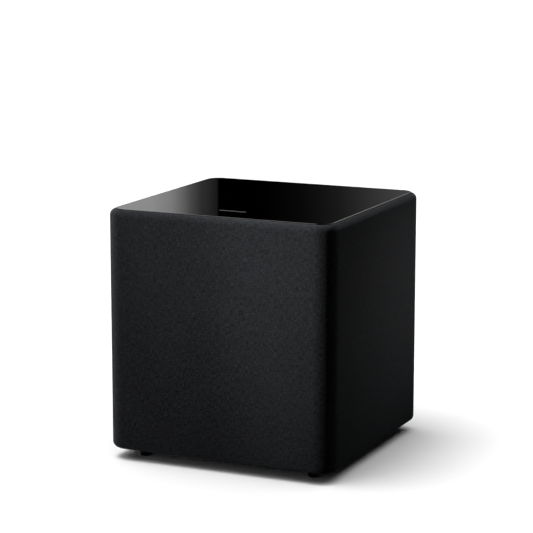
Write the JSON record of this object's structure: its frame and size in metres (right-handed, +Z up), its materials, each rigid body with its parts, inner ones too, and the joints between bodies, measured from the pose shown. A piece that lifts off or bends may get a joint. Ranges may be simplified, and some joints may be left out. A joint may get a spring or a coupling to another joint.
{
  "type": "subwoofer",
  "caption": "Cube-shaped sealed active subwoofer with a black cloth wrap, a gloss black top, round rubber feet, a front-facing driver and a rear plate amplifier.",
  "frame": {"origin": "on the floor under the middle of the whole object's footprint, knobs included", "axes": "+Z up, -Y out of the front (the driver's side), +Y out of the rear plate, +X to the right seen from the front"},
  "size_m": [0.393, 0.41, 0.41],
  "materials": {
    "cabinet_board": "matte",
    "black_cloth": "matte",
    "gloss_black": "gloss",
    "badge_metal": "satin",
    "black_moulding": "matte",
    "rubber_black": "matte",
    "screw_steel": "satin",
    "insert_brass": "satin",
    "wadding": "matte",
    "cast_frame": "satin",
    "gasket_foam": "matte",
    "cone_paper": "satin",
    "cap_metal": "satin",
    "former_metal": "satin",
    "copper_wire": "satin",
    "spider_cloth": "matte",
    "plated_steel": "satin",
    "ferrite": "matte",
    "lead_insulation": "satin",
    "panel_black": "matte",
    "circuit_board": "satin",
    "bare_aluminium": "satin",
    "can_sleeve": "gloss",
    "knob_black": "satin",
    "switch_nub": "satin",
    "contact_nickel": "satin",
    "jack_moulding": "satin",
    "header_green": "satin",
    "led_lens": "gloss"
  },
  "bodies": {
    "cabinet": {"front_frame": "cabinet_board", "front_baffle": "cabinet_board", "rear_panel": "cabinet_board", "top_board": "cabinet_board", "bottom_board": "cabinet_board", "left_side_panel": "cabinet_board", "right_side_panel": "cabinet_board", "window_brace": "cabinet_board", "fabric_wrap": "black_cloth", "top_plate": "gloss_black", "badge_bar": "badge_metal", "bottom_cover": "black_moulding", "driver_grille": "black_moulding", "rocker_housing": "black_moulding", "mains_inlet": "black_moulding", "slide_switches": "black_moulding", "expansion_port": "black_moulding", "driver_terminals": "black_moulding", "rubber_feet": "rubber_black", "surround": "rubber_black", "foot_screws": "screw_steel", "driver_screws": "screw_steel", "amp_screws": "screw_steel", "foot_inserts": "insert_brass", "damping_wadding": "wadding", "driver_basket": "cast_frame", "driver_gasket": "gasket_foam", "amp_gasket": "gasket_foam", "tinsel_leads": "copper_wire", "spider": "spider_cloth", "magnet_front_plate": "plated_steel", "pole_yoke": "plated_steel", "potentiometers": "plated_steel", "board_spacers": "plated_steel", "ferrite_magnet": "ferrite", "power_transformer": "ferrite", "driver_leads": "lead_insulation", "amp_plate": "panel_black", "input_board": "circuit_board", "power_board": "circuit_board", "heat_sink": "bare_aluminium", "filter_capacitors": "can_sleeve", "inlet_pins": "contact_nickel", "line_in_jacks": "contact_nickel", "line_in_insulators": "jack_moulding", "speaker_input_socket": "header_green", "status_led": "led_lens"},
    "cone_assembly": {"cone": "cone_paper", "dust_cap": "cap_metal", "coil_former": "former_metal", "coil_winding": "copper_wire"},
    "volume_control": {"volume_shaft": "bare_aluminium", "volume_knob": "knob_black"},
    "crossover_control": {"crossover_shaft": "bare_aluminium", "crossover_knob": "knob_black"},
    "eq_switch": {"eq_slider": "switch_nub"},
    "phase_switch": {"phase_slider": "switch_nub"},
    "mode_switch": {"mode_slider": "switch_nub"},
    "mains_rocker": {"power_rocker": "switch_nub"},
    "fuse_tray": {"fuse_drawer": "black_moulding"}
  },
  "joints": [
    {"name": "cone_travel", "type": "slide", "parent": "cabinet", "child": "cone_assembly", "axis": [0, -1, 0], "range_m": [-0.012, 0.012], "stiffness_N_per_m": 4000, "deforming": ["surround", "spider", "tinsel_leads"]},
    {"name": "volume_turn", "type": "hinge", "parent": "cabinet", "child": "volume_control", "pos_m": [0.058, 0.187, 0.3169], "axis": [0, -1, 0], "range_deg": [-150, 150]},
    {"name": "crossover_turn", "type": "hinge", "parent": "cabinet", "child": "crossover_control", "pos_m": [-0.058, 0.187, 0.3169], "axis": [0, -1, 0], "range_deg": [-150, 150]},
    {"name": "eq_slide", "type": "slide", "parent": "cabinet", "child": "eq_switch", "axis": [-1, 0, 0], "range_m": [-0.0025, 0.0025]},
    {"name": "phase_slide", "type": "slide", "parent": "cabinet", "child": "phase_switch", "axis": [1, 0, 0], "range_m": [0, 0.003]},
    {"name": "mode_slide", "type": "slide", "parent": "cabinet", "child": "mode_switch", "axis": [1, 0, 0], "range_m": [0, 0.003]},
    {"name": "mains_rock", "type": "hinge", "parent": "cabinet", "child": "mains_rocker", "pos_m": [0.052, 0.1835, 0.1089], "axis": [1, 0, 0], "range_deg": [-16, 0]},
    {"name": "fuse_drawer_pull", "type": "slide", "parent": "cabinet", "child": "fuse_tray", "axis": [0, 1, 0], "range_m": [0, 0.016]}
  ]
}
